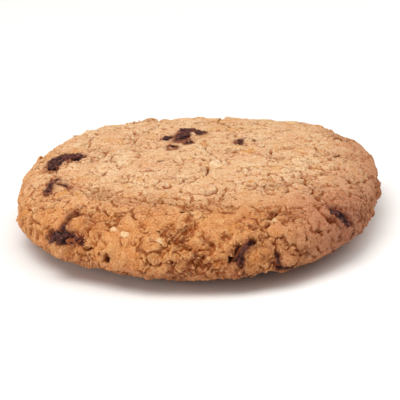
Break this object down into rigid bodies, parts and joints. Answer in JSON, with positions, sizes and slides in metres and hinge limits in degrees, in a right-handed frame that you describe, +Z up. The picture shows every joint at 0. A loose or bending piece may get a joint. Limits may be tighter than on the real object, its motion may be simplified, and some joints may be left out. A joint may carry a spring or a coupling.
{
  "type": "oatmeal raisin cookie",
  "caption": "Thick round baked oat biscuit with a cracked, crumbly skin and raisins set in its top and flank, lying on its flat underside.",
  "frame": {"origin": "middle of the flat underside, below the centre of the cookie's box", "axes": "+Z up through the cookie's thickness; -Y towards the near flank, with the raisins low in it; -X towards the side with the large raisin"},
  "size_m": [0.078, 0.0815, 0.0162],
  "materials": {
    "dough": "matte, baked golden-brown oat dough",
    "raisin": "dark purple-brown, wrinkled, with a soft sheen"
  },
  "bodies": {
    "root": {"dough": "dough", "raisin_left": "raisin", "raisin_left_covered": "raisin", "raisin_front_left": "raisin", "raisin_top": "raisin", "raisin_top_small": "raisin", "raisin_top_right": "raisin", "raisin_front": "raisin", "raisin_front_low": "raisin", "raisin_right": "raisin", "raisin_back_left": "raisin", "raisin_back_right": "raisin"}
  },
  "joints": []
}
